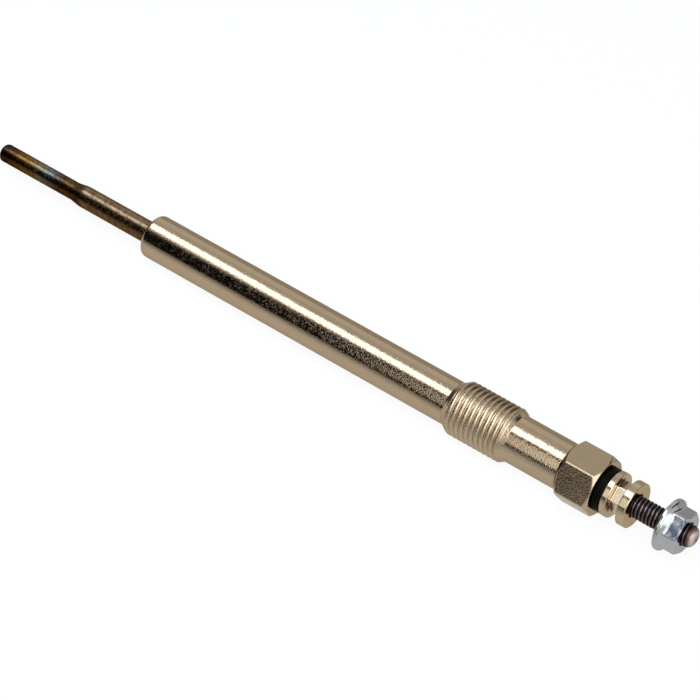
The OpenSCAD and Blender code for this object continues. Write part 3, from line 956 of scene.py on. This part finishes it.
def soft_material(name, colours, grain_mm, roughness):
    """Matt powder or rubber with a fine grain."""
    paint = Paint(name)
    grain = paint.noise(grain_mm, detail=3)
    paint.feed(Base_Color=paint.clouded(grain, colours),
               Roughness=paint.span(grain, *NOISE_ENDS, *roughness),
               Normal=paint.bump(grain, SOFT_GRAIN_DEPTH))
    return paint.material


def dress_inner_nodes():
    """Materials of the pieces that stay as the frame has them, inside the plug."""
    rubber = soft_material("seal_rubber", RUBBER_COLOURS, RUBBER_GRAIN, RUBBER_ROUGHNESS)
    powder = soft_material("magnesia", MAGNESIA_COLOURS, MAGNESIA_GRAIN, MAGNESIA_ROUGHNESS)
    inner = {
        "heating_coil": wire_material("resistance_wire", HEATING_WIRE_COLOURS),
        "control_coil": wire_material("nickel_wire", NICKEL_WIRE_COLOURS),
        "magnesia_filling": powder,
        "sheath_seal": rubber,
        "o_ring": rubber,
    }
    for node, material in inner.items():
        slots = frame["nodes"][node].data.materials
        slots.clear()
        slots.append(material)


# Studio

def stage_material(name, albedo, white_share):
    """Matt grey surface that shows as white, by a share, to the camera and in mirroring surfaces."""
    material = bpy.data.materials.new(name)
    material.use_nodes = True
    graph = Graph(material.node_tree)
    graph.nodes.clear()
    matt = graph.nodes.new("ShaderNodeBsdfDiffuse")
    matt.inputs["Color"].default_value = (albedo, albedo, albedo, 1)
    white = graph.nodes.new("ShaderNodeEmission")
    mix = graph.nodes.new("ShaderNodeMixShader")
    graph.give(mix.inputs["Fac"], graph.product(graph.seen(), white_share))
    graph.give(mix.inputs[1], matt.outputs[0])
    graph.give(mix.inputs[2], white.outputs[0])
    output = graph.nodes.new("ShaderNodeOutputMaterial")
    graph.give(output.inputs["Surface"], mix.outputs[0])
    return material


def stage_mesh(name, vertices, faces, albedo, white_share):
    """Mesh that belongs to the studio and not to the plug."""
    mesh = bpy.data.meshes.new(name)
    mesh.from_pydata(vertices, [], faces)
    mesh.materials.append(stage_material(name, albedo, white_share))
    obj = link(bpy.data.objects.new(name, mesh))
    return obj


def hide_card(card):
    """The card is left to mirroring surfaces: the camera doesn't see it and it casts no shadow."""
    card.visible_camera = False
    card.visible_diffuse = False
    card.visible_shadow = False


def floor_sheet(name, x_ends, y_ends, lift, albedo, white_share):
    """Sheet on the plane that touches the plug's nose and the last crest of its thread."""
    nose_x = NOSE_ROUND
    slope = (SHAFT_R - THREAD_R) / (THREAD_END_X - nose_x)
    x0, x1 = x_ends
    y0, y1 = y_ends
    corners = []
    for x, y in ((x0, y0), (x1, y0), (x1, y1), (x0, y1)):
        z = -SHAFT_R * MM + slope * (x - nose_x * MM) + lift
        corners.append((x, y, z))
    return stage_mesh(name, corners, [(0, 1, 2, 3)], albedo, white_share)


def build_floor():
    """Pale floor, with boards before and behind the plug that dim it in the plug's mirroring surfaces."""
    whole = (-FLOOR_SIZE / 2, FLOOR_SIZE / 2)
    floor_sheet("floor", whole, whole, 0.0, FLOOR_ALBEDO, FLOOR_WHITE_SHARE)
    for near, far, white_share in FRONT_BOARDS:
        hide_card(floor_sheet("front_board", whole, (-far, -near), BOARD_LIFT, FLAG_ALBEDO, white_share))
    hide_card(floor_sheet("back_board", whole, BACK_BOARD_Y, BOARD_LIFT, FLAG_ALBEDO, BACK_BOARD_SHARE))


def direction(lean, height):
    """Direction at a height about the axis, from the front horizon up, and a lean towards the terminal."""
    return Vector((math.sin(lean), -math.cos(lean) * math.cos(height), math.cos(lean) * math.sin(height)))


def build_card(name, lean_range, height_range, white_share):
    """Curved card round the plug that only its mirroring surfaces see: a black flag or a pale wall."""
    leans = np.radians(np.linspace(*lean_range, CARD_STEPS + 1))
    heights = np.radians(np.linspace(*height_range, CARD_STEPS + 1))
    vertices = [direction(lean, height) * CARD_DISTANCE for lean in leans for height in heights]
    faces = []
    for i in range(CARD_STEPS):
        for j in range(CARD_STEPS):
            a = i * (CARD_STEPS + 1) + j
            faces.append((a, a + 1, a + CARD_STEPS + 2, a + CARD_STEPS + 1))
    hide_card(stage_mesh(name, vertices, faces, FLAG_ALBEDO, white_share))


def build_softbox(name, aim, turns, size, radiance, colour):
    """Rectangular light that faces a point near the plug, with its length about along the plug."""
    lean, height, turn = [math.radians(degrees) for degrees in turns]
    length, width = size
    lamp = bpy.data.lights.new(name, "AREA")
    lamp.shape = "RECTANGLE"
    lamp.size = length
    lamp.size_y = width
    lamp.energy = radiance * math.pi * length * width
    lamp.color = colour
    facing = direction(lean, height)
    along = Vector((math.cos(turn), -math.sin(turn), 0))
    across = facing.cross(along).normalized()
    place = Vector((*aim, 0)) + facing * SOFTBOX_DISTANCE
    rotation = Matrix((across.cross(facing), across, facing)).transposed()
    obj = link(bpy.data.objects.new(name, lamp))
    obj.matrix_world = Matrix.Translation(place) @ rotation.to_4x4()
    obj.visible_camera = False


def build_world():
    """Room light, with white where the camera or a mirroring surface looks past the floor."""
    world = bpy.data.worlds.new("studio")
    bpy.context.scene.world = world
    world.use_nodes = True
    graph = Graph(world.node_tree)
    graph.nodes.clear()
    room = graph.nodes.new("ShaderNodeBackground")
    room.inputs["Strength"].default_value = ROOM_LIGHT
    white = graph.nodes.new("ShaderNodeBackground")
    mix = graph.nodes.new("ShaderNodeMixShader")
    for background in (room, white):
        background.inputs["Color"].default_value = (*WHITE, 1)
    graph.give(mix.inputs["Fac"], graph.seen())
    graph.give(mix.inputs[1], room.outputs[0])
    graph.give(mix.inputs[2], white.outputs[0])
    output = graph.nodes.new("ShaderNodeOutputWorld")
    graph.give(output.inputs["Surface"], mix.outputs[0])


def build_camera():
    """Camera at the photograph's angle, aimed so that a point of the axis falls on its pixel there."""
    data = bpy.data.cameras.new("camera")
    data.sensor_width = SENSOR_MM
    data.lens = FOCAL_PX / PICTURE_PX * SENSOR_MM
    data.clip_start = CLIP_START
    camera = link(bpy.data.objects.new("camera", data))
    back = Vector((math.sin(AZIMUTH) * math.cos(ELEVATION), -math.cos(AZIMUTH) * math.cos(ELEVATION),
                   math.sin(ELEVATION)))
    right = Vector((math.cos(AZIMUTH), math.sin(AZIMUTH), 0))
    up = back.cross(right)
    aim_right = (AIM_PX[0] - PICTURE_PX / 2) / FOCAL_PX * CAMERA_DISTANCE
    aim_up = -(AIM_PX[1] - PICTURE_PX / 2) / FOCAL_PX * CAMERA_DISTANCE
    place = Vector((AIM_X, 0, 0)) - aim_right * right - aim_up * up + back * CAMERA_DISTANCE
    camera.matrix_world = Matrix.Translation(place) @ Matrix((right, up, back)).transposed().to_4x4()
    bpy.context.scene.camera = camera


bpy.context.scene.view_settings.view_transform = "Standard"
build_camera()
build_floor()
for card in CARDS:
    build_card(*card)
for softbox in SOFTBOXES:
    build_softbox(*softbox)
build_world()

dress(build_shell(), "shell", nickel_material())
dress(build_sheath(), "sheath_tube", sheath_material())
dress(build_stud(), "centre_electrode", stud_material())
dress(build_bush(), "insulating_bush", bush_material())
dress(build_round_nut(), "round_nut", round_nut_material())
dress(build_flange_nut(), "flange_nut", nut_material())
dress_inner_nodes()
